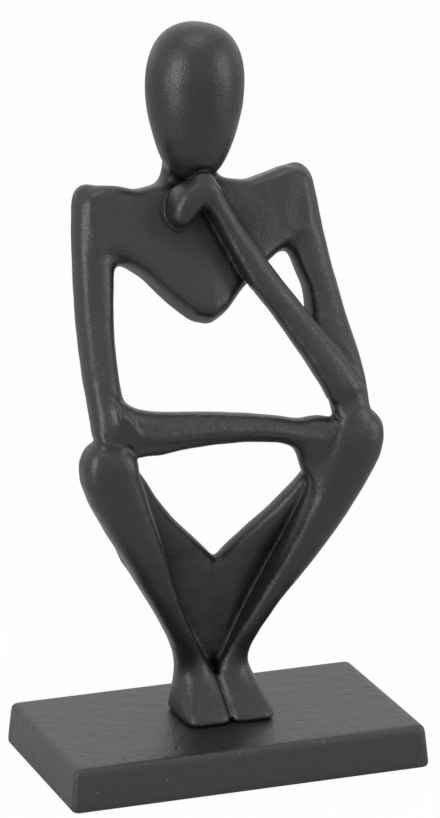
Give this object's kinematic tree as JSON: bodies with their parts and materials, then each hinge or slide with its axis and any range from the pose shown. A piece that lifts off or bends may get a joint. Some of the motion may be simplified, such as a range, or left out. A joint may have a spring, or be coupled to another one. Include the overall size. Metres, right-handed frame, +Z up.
{
  "type": "sitting man figurine",
  "caption": "Abstract cast figurine of a man with a plain egg-shaped head, sitting in thought with one hand at the chin, on a rectangular plinth.",
  "frame": {"origin": "middle of the plinth's footprint, on the surface that the pads stand on", "axes": "+X to the figure's left, +Y to its back, +Z up"},
  "size_m": [0.22, 0.1262, 0.4344],
  "materials": {
    "casting": "satin black paint on cast aluminium",
    "pads": "matte",
    "fasteners": "plain zinc plate"
  },
  "bodies": {
    "root": {"plinth": "casting", "plinth_pads": "pads", "foot_screws": "fasteners", "right_leg": "casting", "left_leg": "casting", "hips": "casting", "upper_body": "casting", "right_forearm": "casting", "left_forearm": "casting", "head": "casting"}
  },
  "joints": []
}
